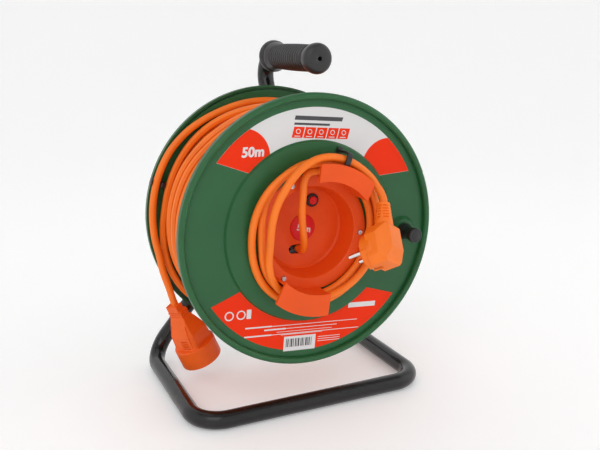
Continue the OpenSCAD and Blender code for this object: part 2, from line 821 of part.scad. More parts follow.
tail_points = concat(
    [for (p = [
        [58, 126.5, lane_w], [68, 126.5, lane_w], [78, 126.5, lane_w], [88, 126.5, lane_w],
        [98, 126.5, lane_w], [108, 127.2, lane_w], [118, 134, lane_w], [127, 140, lane_w],
        [136, lane_r, lane_w], [146, lane_r, lane_w - 0.3], [156, lane_r, lane_w - 0.9],
        [166, lane_r, lane_w - 1.9], [176, lane_r, lane_w - 3.8], [186, lane_r, neck_w + 1.2],
        [195, lane_r, neck_w + 0.2]
    ]) on_drum(p)],
    [[-132.9, neck_w, -55.4], [-126.7, neck_w, -76.4]],
    [neck_at, on_neck(neck_depth), on_neck(2 * neck_depth)]
);

module cord_tail() color(orange) at_axle() cord(curve(tail_points, 2), [0, 1, 0], 8);

module at_neck() at_axle() translate(neck_at) rotate([0, neck_turn, 0]) children();

// Neck block between two distances along it: half width, back and front of its panel side
module neck_block(s0, s1, half, back, front)
    translate([-half, -back, s0]) cube([2 * half, back + front, s1 - s0]);

module connector_shell() rotate([0, 0, panel_turn]) {
    neck_block(2, 9.2, 9.6, 4.8, 7.6);
    neck_block(9, 18.5, 9.4, 4.8, 6.2);
    for (i = [0 : 2])
        neck_block(10.2 + i * 3, 12 + i * 3, 10.2, 5.4, 7);
    intersection() {
        translate([0, 30, 0]) rotate([90, 0, 0]) linear_extrude(60) polygon([
            [-10.4, 18], [10.4, 18], [17, 38], [17.5, ring_s + 1], [-17.5, ring_s + 1], [-17, 38]
        ]);
        rotate([90, 0, 90]) translate([0, 0, -30]) linear_extrude(60) polygon([
            [-6.4, 18], [7, 18], [15.4, 38], [17.5, ring_s + 1], [-17.5, ring_s + 1], [-15, 38]
        ]);
        rotate_extrude() polygon([[0, 18], [12.4, 18], [20.5, 38], [22, ring_s + 1], [0, ring_s + 1]]);
    }
}

module connector_body() color(orange) at_neck() difference() {
    union() {
        connector_shell();
        rotate_extrude() polygon([
            [0, ring_s], [ring_r - 1.6, ring_s], [ring_r, ring_s + 1.6], [ring_r, mouth_s - 0.8],
            [ring_r - 0.8, mouth_s], [0, mouth_s]
        ]);
    }
    translate([0, 0, -1]) cylinder(h = neck_depth + 1, r = cord_r + gap);
    translate([0, 0, recess_s]) cylinder(h = 20, r = recess_r);
    translate([0, 0, recess_s - insert_t]) cylinder(h = insert_t + 1, r = insert_r);
    for (y = [-prong_half, prong_half])
        translate([0, y, recess_s - insert_t - 14]) cylinder(h = 15, r = 3.2);
}

module socket_insert() color(orange) at_neck() difference() {
    translate([0, 0, recess_s - insert_t]) cylinder(h = insert_t, r = insert_r);
    for (y = [-prong_half, prong_half])
        translate([0, y, recess_s - insert_t - 1]) cylinder(h = insert_t + 2, r = contact_r);
}

module socket_contacts() color(brass) at_neck() {
    for (y = [-prong_half, prong_half])
        translate([0, y, recess_s - insert_t - 13.5]) difference() {
            cylinder(h = 13.5, r = 3.2);
            translate([0, 0, 1]) cylinder(h = 14, r = contact_r);
        }
}

module socket_earth() color(steel) at_neck() {
    for (m = [0, 1])
        mirror([m, 0, 0]) translate([insert_r + 1, -3, recess_s]) cube([1, 6, 14]);
}

base_tube();
handle_tube();
hub_block();
grip();
axle();
axle_washer();
axle_end_washer();
axle_end_screw();
tail_washer();
tail_nut();
front_flange();
rear_flange();
drum_screws();
cable_cup();
cup_screws();
centre_cap();
thermal_switch();
reset_button();
terminal_block();
lead_clamp();
barrel_grommet();
knob_pin();
knob();
front_clip();
rear_clip();
cord_core();
cord_winding();
lead_inner();
lead_coil();
lead_outer();
plug_body();
plug_pins();
plug_earth();
cord_tail();
connector_body();
socket_insert();
socket_contacts();
socket_earth();
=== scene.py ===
"""Finishes, cords, labels and soft edges of a garden cable reel, round its packed construction."""

import math

import bpy
from bpy.props import FloatProperty, FloatVectorProperty, PointerProperty, StringProperty
from mathutils import Matrix, Vector


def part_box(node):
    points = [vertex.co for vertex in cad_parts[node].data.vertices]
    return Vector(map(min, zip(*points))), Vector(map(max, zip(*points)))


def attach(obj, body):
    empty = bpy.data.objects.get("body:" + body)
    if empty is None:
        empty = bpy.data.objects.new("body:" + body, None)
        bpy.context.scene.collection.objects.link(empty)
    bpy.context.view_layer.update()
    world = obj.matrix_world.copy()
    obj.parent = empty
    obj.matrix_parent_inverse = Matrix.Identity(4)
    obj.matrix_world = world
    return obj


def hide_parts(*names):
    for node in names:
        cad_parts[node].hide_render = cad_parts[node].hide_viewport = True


bl_info = {
    "name": "Garden cable reel",
    "version": (1, 0, 0),
    "blender": (4, 5, 0),
    "location": "View3D > Sidebar > Reel",
    "description": "Dresses the cable reel with its cords, plug, socket, labels and finishes",
    "category": "Object",
}

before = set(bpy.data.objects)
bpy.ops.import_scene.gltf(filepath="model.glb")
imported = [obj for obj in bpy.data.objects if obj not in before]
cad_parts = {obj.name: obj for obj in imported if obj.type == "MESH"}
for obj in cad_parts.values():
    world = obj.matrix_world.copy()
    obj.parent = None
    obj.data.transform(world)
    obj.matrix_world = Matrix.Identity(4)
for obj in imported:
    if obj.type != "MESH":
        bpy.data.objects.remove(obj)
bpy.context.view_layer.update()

# Places are given as (x, w, z) in millimetres: x and z from the axle, w back from the front rim.
MM = 0.001
RIM_LOW, RIM_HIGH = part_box("front_flange")
FRONT_Y = RIM_LOW.y
AXLE_Z = (RIM_LOW.z + RIM_HIGH.z) / 2
DRUM_FRAME = Matrix.Translation((0, FRONT_Y, AXLE_Z)) @ Matrix.Rotation(math.radians(-90), 4, "X")

CORD_R = 4.0
LANE_W = 119.5
CLIP_LANE_R = 141.0
CLIP_ANGLE = 71.0
HOOK_ANGLE = 162.0


def spot(x, w, z):
    """A place on the reel, in scene metres."""
    return Vector((x * MM, FRONT_Y + w * MM, AXLE_Z + z * MM))


def on_drum(angle, radius, w):
    """A place given by its angle round the axle from +X, its radius and its station."""
    a = math.radians(angle)
    return (radius * math.cos(a), w, radius * math.sin(a))


def turn(angle, axis):
    return Matrix.Rotation(math.radians(angle), 4, axis)


def shift(x, y, z):
    return Matrix.Translation((x * MM, y * MM, z * MM))


# ---------------------------------------------------------------- settings


class ReelSizes(bpy.types.PropertyGroup):
    """Sizes of the pieces that are modelled here"""

    cord_diameter: FloatProperty(
        name="Cord diameter",
        description="Diameter of the three-core cord",
        default=2 * CORD_R * MM,
        unit="LENGTH", subtype="DISTANCE",
    )
    tube_diameter: FloatProperty(
        name="Tube diameter",
        description="Outside diameter of the stand's tube",
        default=0.019,
        unit="LENGTH", subtype="DISTANCE",
    )


class ReelColours(bpy.types.PropertyGroup):
    """Colours of the reel's finishes"""

    green: FloatVectorProperty(
        name="Flange green",
        description="Moulded green of both flanges",
        default=(0.017, 0.108, 0.033),
        size=3, min=0, max=1, subtype="COLOR",
    )
    orange: FloatVectorProperty(
        name="Cup orange",
        description="Moulded orange of the cable cup",
        default=(0.84, 0.088, 0.006),
        size=3, min=0, max=1, subtype="COLOR",
    )
    cord: FloatVectorProperty(
        name="Cord orange",
        description="Sheath of the cord, plug and socket",
        default=(0.97, 0.195, 0.012),
        size=3, min=0, max=1, subtype="COLOR",
    )
    label_red: FloatVectorProperty(
        name="Label red",
        description="Printed red of the labels",
        default=(0.86, 0.032, 0.002),
        size=3, min=0, max=1, subtype="COLOR",
    )
    label_white: FloatVectorProperty(
        name="Label white",
        description="Unprinted film of the labels",
        default=(0.72, 0.71, 0.71),
        size=3, min=0, max=1, subtype="COLOR",
    )


class ReelStage(bpy.types.PropertyGroup):
    """Camera and light"""

    azimuth: FloatProperty(
        name="Azimuth",
        description="Direction the camera looks from, round the reel",
        default=math.radians(-25.115),
        unit="ROTATION", subtype="ANGLE",
    )
    elevation: FloatProperty(
        name="Elevation",
        description="Height angle of the camera above the horizon",
        default=math.radians(14.058),
        unit="ROTATION", subtype="ANGLE",
    )
    key_power: FloatProperty(
        name="Key light",
        description="Power of the large soft light",
        default=8.4,
        unit="POWER",
    )
    length_mark: StringProperty(
        name="Length mark",
        description="Length of cord printed on the label and the cap",
        default="50m",
    )


# ---------------------------------------------------------------- materials


def add_node(tree, kind, **inputs):
    """A new node whose named inputs are set."""
    node = tree.nodes.new(kind)
    for name, value in inputs.items():
        node.inputs[name.replace("_", " ")].default_value = value
    return node


def noise(tree, scale, detail, roughness=0.5):
    """Noise on Object coordinates, about 1/scale metres in size."""
    place = tree.nodes.new("ShaderNodeTexCoord")
    found = add_node(tree, "ShaderNodeTexNoise", Scale=scale, Detail=detail, Roughness=roughness)
    tree.links.new(place.outputs["Object"], found.inputs["Vector"])
    return found.outputs["Fac"]


def spread(tree, value, low, high):
    """A noise value stretched over a range."""
    node = tree.nodes.new("ShaderNodeMapRange")
    node.inputs["From Min"].default_value = 0.3
    node.inputs["From Max"].default_value = 0.7
    node.inputs["To Min"].default_value = low
    node.inputs["To Max"].default_value = high
    tree.links.new(value, node.inputs["Value"])
    return node.outputs["Result"]


def tinted(tree, value, dark, light):
    """A colour between dark and light by a value."""
    node = tree.nodes.new("ShaderNodeMix")
    node.data_type = "RGBA"
    node.inputs["A"].default_value = (*dark, 1)
    node.inputs["B"].default_value = (*light, 1)
    tree.links.new(value, node.inputs["Factor"])
    return node.outputs["Result"]


def scaled(colour, factor):
    return tuple(min(1.0, c * factor) for c in colour)


FINISHES = {}
COAT_ROUGHNESS = 0.1


def finish_material(
    name, colour, roughness, mottle=0.06, mottle_size=0.05, grain_size=0.0012,
    grain_depth=0.00003, grain_strength=0.25, metallic=0.0, coat=0.0, specular=0.5,
):
    """A surface with uneven colour, uneven gloss and a fine grain."""
    material = bpy.data.materials.new(name)
    FINISHES[name] = material
    material.use_nodes = True
    tree = material.node_tree
    shader = tree.nodes["Principled BSDF"]
    shader.inputs["Metallic"].default_value = metallic
    shader.inputs["Coat Weight"].default_value = coat
    shader.inputs["Coat Roughness"].default_value = COAT_ROUGHNESS
    shader.inputs["Specular IOR Level"].default_value = specular
    blotches = spread(tree, noise(tree, 1 / mottle_size, 4.0), 0, 1)
    tint = tinted(tree, blotches, scaled(colour, 1 - mottle), scaled(colour, 1 + mottle))
    tree.links.new(tint, shader.inputs["Base Color"])
    patches = noise(tree, 3 / mottle_size, 5.0, 0.6)
    gloss = spread(tree, patches, roughness - 0.05, roughness + 0.07)
    tree.links.new(gloss, shader.inputs["Roughness"])
    bump = add_node(tree, "ShaderNodeBump", Strength=grain_strength, Distance=grain_depth)
    tree.links.new(noise(tree, 1 / grain_size, 3.0), bump.inputs["Height"])
    tree.links.new(bump.outputs["Normal"], shader.inputs["Normal"])


def make_materials():
    """Every finish of the reel, by name."""
    tint = bpy.context.scene.reel_colours
    finish_material(
        "green_plastic", tint.green, 0.38,
        mottle=0.1, mottle_size=0.09, grain_depth=0.00002, specular=0.4,
    )
    finish_material(
        "orange_plastic", tint.orange, 0.44, mottle=0.05, mottle_size=0.04, specular=0.3
    )
    finish_material(
        "cord_sheath", tint.cord, 0.4,
        specular=0.35, mottle=0.06, mottle_size=0.03, grain_size=0.0008,
    )
    finish_material(
        "plug_plastic", tint.cord, 0.42,
        specular=0.35, mottle=0.05, mottle_size=0.02, grain_size=0.0006,
    )
    finish_material(
        "socket_plastic", (0.9, 0.125, 0.008), 0.42,
        specular=0.3, mottle=0.05, mottle_size=0.02,
    )
    finish_material(
        "label_red", tint.label_red, 0.34, mottle=0.04, specular=0.15, grain_strength=0.1
    )
    finish_material(
        "label_white", tint.label_white, 0.34, mottle=0.03, coat=0.25, grain_strength=0.1
    )
    finish_material("print_grey", (0.05, 0.05, 0.055), 0.4, grain_strength=0.1)
    finish_material(
        "frame_paint", (0.008, 0.007, 0.007), 0.22,
        coat=0.2, specular=0.35, grain_size=0.004, grain_depth=0.00005, grain_strength=0.2,
    )
    finish_material(
        "grip_rubber", (0.022, 0.02, 0.02), 0.36, grain_size=0.0007, grain_strength=0.4
    )
    finish_material("black_plastic", (0.012, 0.012, 0.013), 0.36)
    finish_material("red_plastic", (0.72, 0.01, 0.012), 0.3, specular=0.3)
    finish_material("cream_plastic", (0.72, 0.68, 0.55), 0.45)
    finish_material(
        "zinc_steel", (0.62, 0.62, 0.63), 0.3, metallic=1.0, mottle=0.12, mottle_size=0.006
    )
    finish_material(
        "nickel", (0.8, 0.79, 0.77), 0.16, metallic=1.0, mottle=0.04, mottle_size=0.01
    )
    finish_material("brass", (0.72, 0.5, 0.2), 0.28, metallic=1.0)


def paint(piece, material_name):
    """Gives a piece, or a construction node, its one finish."""
    slots = piece.data.materials
    slots.clear()
    slots.append(FINISHES[material_name])


# ---------------------------------------------------------------- modelling helpers


def deselect_all():
    if bpy.context.mode != "OBJECT":
        bpy.ops.object.mode_set(mode="OBJECT")
    bpy.ops.object.select_all(action="DESELECT")


def only(piece):
    """Makes one piece the active and only selected one."""
    deselect_all()
    piece.select_set(True)
    bpy.context.view_layer.objects.active = piece


def lay_wire(name, points):
    """A chain of vertices along points in metres, drawn by extruding, left in edit mode."""
    deselect_all()
    bpy.ops.mesh.primitive_plane_add(size=0.01, location=points[0])
    piece = bpy.context.object
    piece.name = name
    piece.data.name = name
    bpy.ops.object.mode_set(mode="EDIT")
    bpy.ops.mesh.select_all(action="SELECT")
    bpy.ops.mesh.merge(type="CENTER")
    for a, b in zip(points, points[1:]):
        step = Vector(b) - Vector(a)
        bpy.ops.mesh.extrude_vertices_move(TRANSFORM_OT_translate={"value": step})
    bpy.ops.mesh.select_all(action="SELECT")
    bpy.ops.mesh.remove_doubles(threshold=1e-7)
    bpy.ops.mesh.select_all(action="SELECT")
    return piece


def close_up(piece):
    """Merges doubles, turns the faces outwards and leaves edit mode."""
    bpy.ops.mesh.select_all(action="SELECT")
    bpy.ops.mesh.remove_doubles(threshold=1e-6)
    bpy.ops.mesh.delete_loose()
    bpy.ops.mesh.select_all(action="SELECT")
    bpy.ops.mesh.normals_make_consistent(inside=False)
    bpy.ops.object.mode_set(mode="OBJECT")


def settle(piece, place):
    """Puts the piece's place into its mesh, so that its object sits at the origin."""
    piece.data.transform(place @ piece.matrix_world)
    piece.matrix_world = Matrix.Identity(4)


def turned(name, outline, place, steps):
    """A closed outline of (radius, station) in millimetres, spun round the local Z of place."""
    ring = list(outline) + [outline[0]]
    piece = lay_wire(name, [Vector((r * MM, 0, w * MM)) for r, w in ring])
    bpy.ops.mesh.spin(steps=steps, angle=2 * math.pi, center=(0, 0, 0), axis=(0, 0, 1))
    close_up(piece)
    settle(piece, place)
    return piece


def plate(name, outline, thickness, place):
    """A flat outline of (x, y) in millimetres, raised along local Z of place by thickness."""
    ring = list(outline) + [outline[0]]
    piece = lay_wire(name, [Vector((x * MM, y * MM, 0)) for x, y in ring])
    bpy.ops.mesh.edge_face_add()
    bpy.ops.mesh.extrude_region_move(TRANSFORM_OT_translate={"value": (0, 0, thickness * MM)})
    close_up(piece)
    settle(piece, place)
    return piece


def apply_modifier(piece, modifier):
    only(piece)
    bpy.ops.object.modifier_apply(modifier=modifier.name)


SHARP_EDGE = 40


def soften(piece, width, segments):
    """Rounds the sharp edges."""
    bevel = piece.modifiers.new("soften", "BEVEL")
    bevel.width = width * MM
    bevel.segments = segments
    bevel.limit_method = "ANGLE"
    bevel.angle_limit = math.radians(SHARP_EDGE)
    bevel.harden_normals = False
    apply_modifier(piece, bevel)


def combine(piece, other, operation):
    """Joins, cuts or meets a piece with another, which goes."""
    modifier = piece.modifiers.new("combine", "BOOLEAN")
    modifier.operation = operation
    modifier.solver = "MANIFOLD"
    modifier.object = other
    apply_modifier(piece, modifier)
    bpy.data.objects.remove(other)


def smooth(piece, angle):
    """Shades the piece smooth but for edges sharper than angle."""
    only(piece)
    bpy.ops.object.shade_smooth_by_angle(angle=math.radians(angle))


MOULD_CELL = 0.42
MOULD_PASSES = 2


def moulded(piece):
    """Closes the piece to one skin and rounds every edge alike, as a mould does."""
    remesh = piece.modifiers.new("skin", "REMESH")
    remesh.mode = "VOXEL"
    remesh.voxel_size = MOULD_CELL * MM
    apply_modifier(piece, remesh)
    rounding = piece.modifiers.new("rounding", "SMOOTH")
    rounding.factor = 0.5
    rounding.iterations = MOULD_PASSES
    apply_modifier(piece, rounding)


def box(name, low, high, place):
    """A block between two corners in millimetres, in the frame of place."""
    (x0, y0, z0), (x1, y1, z1) = low, high
    outline = [(x0, y0), (x1, y0), (x1, y1), (x0, y1)]
    return plate(name, outline, z1 - z0, place @ shift(0, 0, z0))


# Depth of the blocks whose outlines are met with each other, more than any moulding is across.
BLOCK = 80


def two_views(name, side, end, start, place):
    """The solid with the given outlines from the side and from the end, which starts at start."""
    piece = plate(name, side, BLOCK, place @ shift(0, BLOCK / 2, 0) @ turn(90, "X"))
    across = plate("end", end, BLOCK, place @ shift(start, 0, 0) @ turn(90, "Z") @ turn(90, "X"))
    combine(piece, across, "INTERSECT")
    return piece


def arc(x, y, radius, start, end, steps):
    """Points of an arc from start to end degrees."""
    return [
        (
            x + radius * math.cos(math.radians(start + (end - start) * k / steps)),
            y + radius * math.sin(math.radians(start + (end - start) * k / steps)),
        )
        for k in range(steps + 1)
    ]


def put(piece, material_name, body, replaced=(), angle=32):
    """Finish, shading, body and replaced nodes of a finished piece."""
    paint(piece, material_name)
    smooth(piece, angle)
    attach(piece, body)
    if replaced:
        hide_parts(*replaced)
    return piece


# ---------------------------------------------------------------- cords


def curve_between(a, b, c, d, t):
    """Catmull-Rom point between b and c."""
    return tuple(
        0.5 * (
            2 * q
            + (r - p) * t
            + (2 * p - 5 * q + 4 * r - s) * t * t
            + (3 * q - p - 3 * r + s) * t**3
        )
        for p, q, r, s in zip(a, b, c, d)
    )


def curve_through(points, steps):
    """A smooth line from the second point to the last but one."""
    line = []
    for i in range(1, len(points) - 2):
        for k in range(steps):
            line.append(curve_between(*points[i - 1 : i + 3], k / steps))
    line.append(tuple(points[-2]))
    return line


def tube_along(name, points, radius, sides):
    """A closed round tube along points in metres, as a mesh."""
    data = bpy.data.curves.new(name, "CURVE")
    data.dimensions = "3D"
    data.bevel_depth = radius
    data.bevel_resolution = max(0, sides // 4 - 1)
    data.use_fill_caps = True
    data.twist_mode = "MINIMUM"
    spline = data.splines.new("POLY")
    spline.points.add(len(points) - 1)
    for target, source in zip(spline.points, points):
        target.co = (*source, 1)
    piece = bpy.data.objects.new(name, data)
    bpy.context.scene.collection.objects.link(piece)
    only(piece)
    bpy.ops.object.convert(target="MESH")
    piece = bpy.context.object
    bpy.ops.object.mode_set(mode="EDIT")
    close_up(piece)
    return piece


# The winding: round layers whose turns step over in one short stretch, and a loose outer layer.
BARREL_R = 88.0
LAYERS = 5
LAYER_STEP = 6.7
LANE_PITCH = 8.9
FIRST_LANE_W = 13.3
FULL_LANES = 13
STEP_SHARE = 0.16
STEP_LIFT = 1.3
TURN_STEPS = 40
OUTER_STEPS = 90
OUTER_R = 127.5
OUTER_RIPPLE = 0.4
TAIL_ANGLE = 68.0
TAIL_START_R = 126.5
# Angles, and the station of each loose turn there: the turns lie close at the top and spread at
# the side.
OUTER_ANGLES = [68, 96, 107, 117, 134, 150, 178, 215, 280, 350, 428]
OUTER_STATIONS = [
    [13.4, 13.4, 13.4, 13.4, 13.4, 13.6, 14.5, 17, 18.5, 20, 22],
    [22, 22.4, 23, 23.8, 26.4, 31.5, 40, 48, 40, 33, 30.5],
    [30.5, 32, 34, 36.5, 42, 51.5, 60.5, 70, 60, 48, 39],
    [39, 43, 46.5, 50.5, 59.5, 71, 78.5, 88.5, 77, 61, 47.5],
    [47.5, 58.5, 64, 70, 78.5, 88.5, 94.5, 105.5, 93, 74, 56],
    [56, 69, 90, 103.5, 115, 117.4, 117.5, 117.6, 118, 119, LANE_W],
]
# The last turn stands off the others below the tail clip.
BULGE_ANGLES = [68, 120, 140, 172, 187, 197, 206, 218, 236, 262, 290, 428]
BULGE_RADII = [
    127.5, 127.8, 126.9, 126.8, 130.4, 133.4, 135.3, 135.8, 132.5, 128.4, 127.3, TAIL_START_R,
]


def smooth_step(t):
    t = min(1.0, max(0.0, t))
    return t * t * (3 - 2 * t)


def along(angles, values, angle):
    """Smooth value at an angle, from values at rising angles."""
    last = len(angles) - 1
    i = max(k for k in range(last) if angles[k] <= angle)
    t = (angle - angles[i]) / (angles[i + 1] - angles[i])
    before = values[max(0, i - 1)]
    after = values[min(last, i + 2)]
    return curve_between((before,), (values[i],), (values[i + 1],), (after,), t)[0]


def winding_line():
    """Centre line of the wound cord, from the barrel's grommet to the start of the tail."""
    stops = []
    for layer in range(LAYERS):
        lanes = FULL_LANES - layer % 2
        first = FIRST_LANE_W + (layer % 2) * LANE_PITCH / 2
        stations = [first + i * LANE_PITCH for i in range(lanes)]
        if layer % 2 == 0:
            stations.reverse()
        radius = BARREL_R + CORD_R + 0.1 + layer * LAYER_STEP
        stops += [(radius, w, layer) for w in stations]
    stops.append((OUTER_R, OUTER_STATIONS[0][0], LAYERS))
    line = []
    for here, ahead in zip(stops, stops[1:]):
        for k in range(TURN_STEPS):
            u = k / TURN_STEPS
            crossing = smooth_step((u - 1 + STEP_SHARE) / STEP_SHARE)
            lift = STEP_LIFT * max(here[2], ahead[2]) * 4 * crossing * (1 - crossing)
            radius = here[0] + (ahead[0] - here[0]) * crossing + lift
            w = here[1] + (ahead[1] - here[1]) * crossing
            line.append(on_drum(TAIL_ANGLE + 360 * u, radius, w))
    for number, stations in enumerate(OUTER_STATIONS):
        last = number == len(OUTER_STATIONS) - 1
        for k in range(OUTER_STEPS):
            u = k / OUTER_STEPS
            angle = TAIL_ANGLE + 360 * u
            radius = OUTER_R + OUTER_RIPPLE * math.sin(2 * math.pi * 2 * u)
            if last:
                radius = along(BULGE_ANGLES, BULGE_RADII, angle)
            line.append(on_drum(angle, radius, along(OUTER_ANGLES, stations, angle)))
    line.append(on_drum(TAIL_ANGLE, TAIL_START_R, LANE_W))
    return [spot(*p) for p in line]


# The mains lead: out of the cup, round its two ears, and down to the plug.
LEAD_START = [
    (-4.1, 48, -23.2), (-4.1, 39, -23.2), (-4.1, 29, -23.2), (-4.6, 18, -21.5), (-8, 8, -8),
    (-12.5, 2, 10), (-15, -2, 28), (-15, -4.8, 44), (-14.5, -5.6, 56), (-9.5, -5.5, 65.2),
]
LEAD_TURNS = [
    (90, 67, -5), (45, 67.2, -5), (0, 66, -1.6), (-45, 64.5, -1.4),
    (-90, 67.2, -1.4), (-135, 67.3, -1.5), (-180, 60, -2.6), (-225, 69, -1.5),
    (-270, 75.8, -1.4), (-315, 75.8, -1.4), (-360, 75, -1.5), (-405, 73.5, -1.4),
    (-450, 76, -1.4), (-495, 75.8, -1.4), (-540, 70.6, -2), (-585, 74.5, -9),
    (-630, 75.8, -9.9), (-675, 75.8, -10.1), (-720, 70.5, -10.2), (-765, 69, -10),
    (-810, 67.9, -10.3), (-855, 67.8, -10.8), (-900, 55.5, -14.5), (-945, 66, -21.5),
    (-990, 82, -17.5), (-1035, 80.8, -17.3),
]
LEAD_END = [
    (62.4, -18.6, 49.4), (66, -22.4, 42), (66.4, -27.2, 35.3), (64.9, -30.1, 30.2),
    (63.4, -32.9, 25.2), (61.9, -35.8, 20.1),
]


def lead_line():
    """Centre line of the lead, from its clamp to the bottom of the plug's bore."""
    turns = curve_through([(135, 55, -7)] + LEAD_TURNS + [(-1080, 78, -19)], 9)
    start = curve_through(LEAD_START + [(0, -5, 67), (9.5, -5, 66.5)], 6)
    end = curve_through([(49.1, -17.4, 63.4), on_drum(*LEAD_TURNS[-1])] + LEAD_END, 6)
    line = start + [on_drum(*p) for p in turns[1:]] + end[1:]
    return [spot(*p) for p in line]


# The tail: off the winding, under the rear clip and down to the socket.
NECK = Vector((-121.5, 112.5, -94.6))
TAIL_TURNS = [
    (58, 126.5, LANE_W), (68, 126.5, LANE_W), (78, 127, LANE_W), (88, 128.2, LANE_W),
    (98, 129.4, LANE_W), (108, 130.8, LANE_W), (118, 132.6, LANE_W), (127, 135.3, LANE_W),
    (136, 138.2, LANE_W), (146, 140.4, 119.2), (156, CLIP_LANE_R, 118.6),
    (166, CLIP_LANE_R, 117.6), (176, CLIP_LANE_R, 115.7), (186, CLIP_LANE_R, 113.7),
    (195, CLIP_LANE_R, 112.7),
]
NECK_ANGLE = 157.3
NECK_TURN = math.radians(NECK_ANGLE)
NECK_WAY = Vector((math.sin(NECK_TURN), 0, math.cos(NECK_TURN)))
NECK_DEPTH = 18.0


def tail_line():
    """Centre line of the tail, from the winding to the bottom of the socket's neck."""
    points = [on_drum(*p) for p in TAIL_TURNS]
    points += [(-132.9, NECK.y, -55.4), (-126.7, NECK.y, -76.4)]
    points += [tuple(NECK + NECK_WAY * s) for s in (0, NECK_DEPTH, 2 * NECK_DEPTH)]
    return [spot(*p) for p in curve_through(points, 6)]


class REEL_OT_winding(bpy.types.Operator):
    """Winds the long cord on the drum"""

    bl_idname = "reel.winding"
    bl_label = "Wound cord"

    def execute(self, context):
        diameter = context.scene.reel_sizes.cord_diameter
        line = winding_line()
        cord = tube_along("wound_cord", line, diameter / 2, 12)
        put(cord, "cord_sheath", "drum", ("cord_core", "cord_winding"))
        return {"FINISHED"}


class REEL_OT_lead(bpy.types.Operator):
    """Lays the mains lead round the ears of the cable cup"""

    bl_idname = "reel.lead"
    bl_label = "Mains lead"

    def execute(self, context):
        diameter = context.scene.reel_sizes.cord_diameter
        line = lead_line()
        cord = tube_along("mains_lead", line, diameter / 2, 20)
        put(cord, "cord_sheath", "drum", ("lead_inner", "lead_coil", "lead_outer"))
        return {"FINISHED"}


class REEL_OT_tail(bpy.types.Operator):
    """Leads the free end from the winding to the socket"""

    bl_idname = "reel.tail"
    bl_label = "Tail"

    def execute(self, context):
        diameter = context.scene.reel_sizes.cord_diameter
        line = tail_line()
        cord = tube_along("tail_cord", line, diameter / 2, 20)
        put(cord, "cord_sheath", "stand", ("cord_tail",))
        return {"FINISHED"}


# ---------------------------------------------------------------- plug


PLUG_TURN = turn(-53.9, "Z") @ turn(-27.6, "Y") @ turn(-29.6, "X")
PLUG_FRAME = Matrix.Translation(spot(43.6, -38.6, -17.0)) @ PLUG_TURN
PLUG_R = 19.2
PLUG_BACK = 34.5
RELIEF_FRAME = PLUG_FRAME @ shift(22.2, 0, 20) @ turn(10.5, "Y")
RELIEF_LENGTH = 27.5
RELIEF_SLOTS = [(-41, 3.4), (-96, 2.2), (-148, 3.4), (41, 3.4), (96, 2.2), (148, 3.4)]


class REEL_OT_plug(bpy.types.Operator):
    """Moulds the mains plug with its flat back panel and slotted strain relief"""

    bl_idname = "reel.plug"
    bl_label = "Mains plug"

    def execute(self, context):
        side = [
            (8, -PLUG_R), (26, -PLUG_R), (PLUG_BACK, -6), (PLUG_BACK, 18),
            (PLUG_BACK - 4, 22.5), (8, 22.5),
        ]
        end = [
            (-18.2, -11), (-12.5, -PLUG_R), (12.5, -PLUG_R), (18.2, -11),
            (18.2, 13), (11, 22.5), (-11, 22.5), (-18.2, 13),
        ]
        top = [
            (8, -18.4), (21, -18.4), (PLUG_BACK, -10.5), (PLUG_BACK, 10.5), (21, 18.4), (8, 18.4),
        ]
        body = two_views("plug_moulding", side, end, -10, PLUG_FRAME)
        above = plate("top", top, BLOCK, PLUG_FRAME @ shift(0, 0, -BLOCK / 2))
        combine(body, above, "INTERSECT")
        disc = turned(
            "disc", [(0, 0), (PLUG_R - 1, 0), (PLUG_R, 1), (PLUG_R, 13), (PLUG_R - 1, 14), (0, 14)],
            PLUG_FRAME @ turn(90, "Y"), 96,
        )
        combine(body, disc, "UNION")
        cone = [(0, 0), (10.4, 0), (6.6, RELIEF_LENGTH), (0, RELIEF_LENGTH)]
        combine(body, turned("relief", cone, RELIEF_FRAME, 72), "UNION")
        for angle, half in RELIEF_SLOTS:
            around = RELIEF_FRAME @ turn(angle, "Z")
            for i in range(5):
                low = RELIEF_LENGTH - 4.9 - 3.2 * i
                slot = box("slot", (5.3 + 0.45 * i, -half, low), (14, half, low + 1.5), around)
                combine(body, slot, "DIFFERENCE")
        for way in (-1, 1):
            edge = way * PLUG_R
            guide = box("guide", (-1, edge - 1.7, -2.6), (8, edge + 1.7, 2.6), PLUG_FRAME)
            combine(body, guide, "DIFFERENCE")
            bottom, top_z = sorted((way * (PLUG_R - 3), way * (PLUG_R + 1)))
            earth = box("earth", (-1, -3.2, bottom), (13.4, 3.2, top_z), PLUG_FRAME)
            combine(body, earth, "DIFFERENCE")
        bore = [(0, -1), (2.5, -1), (2.5, 11), (0, 11)]
        hole = turned("hole", bore, PLUG_FRAME @ shift(0, 0, -10) @ turn(90, "Y"), 32)
        combine(body, hole, "DIFFERENCE")
        moulded(body)
        put(body, "plug_plastic", "drum", ("plug_body",), angle=70)
        return {"FINISHED"}


# ---------------------------------------------------------------- trailing socket


NECK_FRAME = Matrix.Translation(spot(*NECK)) @ turn(NECK_ANGLE, "Y")
PANEL_FRAME = NECK_FRAME @ turn(-122, "Z")
RING_S = 55.0
MOUTH_S = 79.0
RING_R = 24.0
PANEL_GROOVES = [
    (11.0, 26, 13.4, 37.5), (13.4, 37.5, 14.2, 53),
    (-11.0, 26, -13.4, 37.5), (-13.4, 37.5, -14.2, 53),
]


def panel_height(s):
    """How far the panel side stands from the axis at a distance from the neck's end."""
    return 7 + (s - 17.5) * 8.4 / 20.5 if s < 38 else 15.4 + (s - 38) * 2.1 / 19


